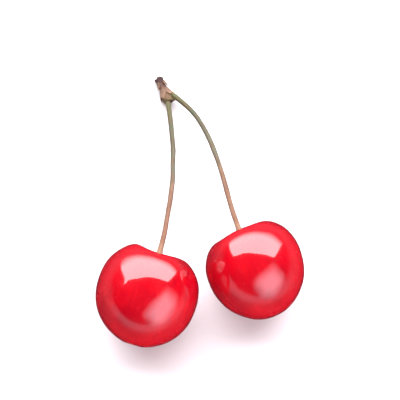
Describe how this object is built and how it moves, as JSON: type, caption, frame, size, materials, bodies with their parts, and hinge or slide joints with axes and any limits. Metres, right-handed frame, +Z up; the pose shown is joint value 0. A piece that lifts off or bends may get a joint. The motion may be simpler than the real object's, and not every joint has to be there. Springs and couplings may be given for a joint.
{
  "type": "twin cherries on stalks",
  "caption": "Twin sweet cherries lying on their sides, their long stalks joined in a short woody spur with dry bud scales.",
  "frame": {"origin": "on the table, under the middle of the whole pair's box", "axes": "+X from the left fruit to the right one, +Y from the fruits to the spur, +Z up"},
  "size_m": [0.048, 0.0702, 0.0236],
  "materials": {
    "cherry_skin": "gloss",
    "green_stalk": "satin",
    "woody_spur": "matte",
    "dry_scale": "matte"
  },
  "bodies": {
    "root": {"cherry_left": "cherry_skin", "cherry_right": "cherry_skin", "stalk_left": "green_stalk", "stalk_right": "green_stalk", "spur": "woody_spur", "bud_scale_1": "dry_scale", "bud_scale_2": "dry_scale", "bud_scale_3": "dry_scale", "bud_scale_4": "dry_scale", "bud_scale_5": "dry_scale"}
  },
  "joints": []
}
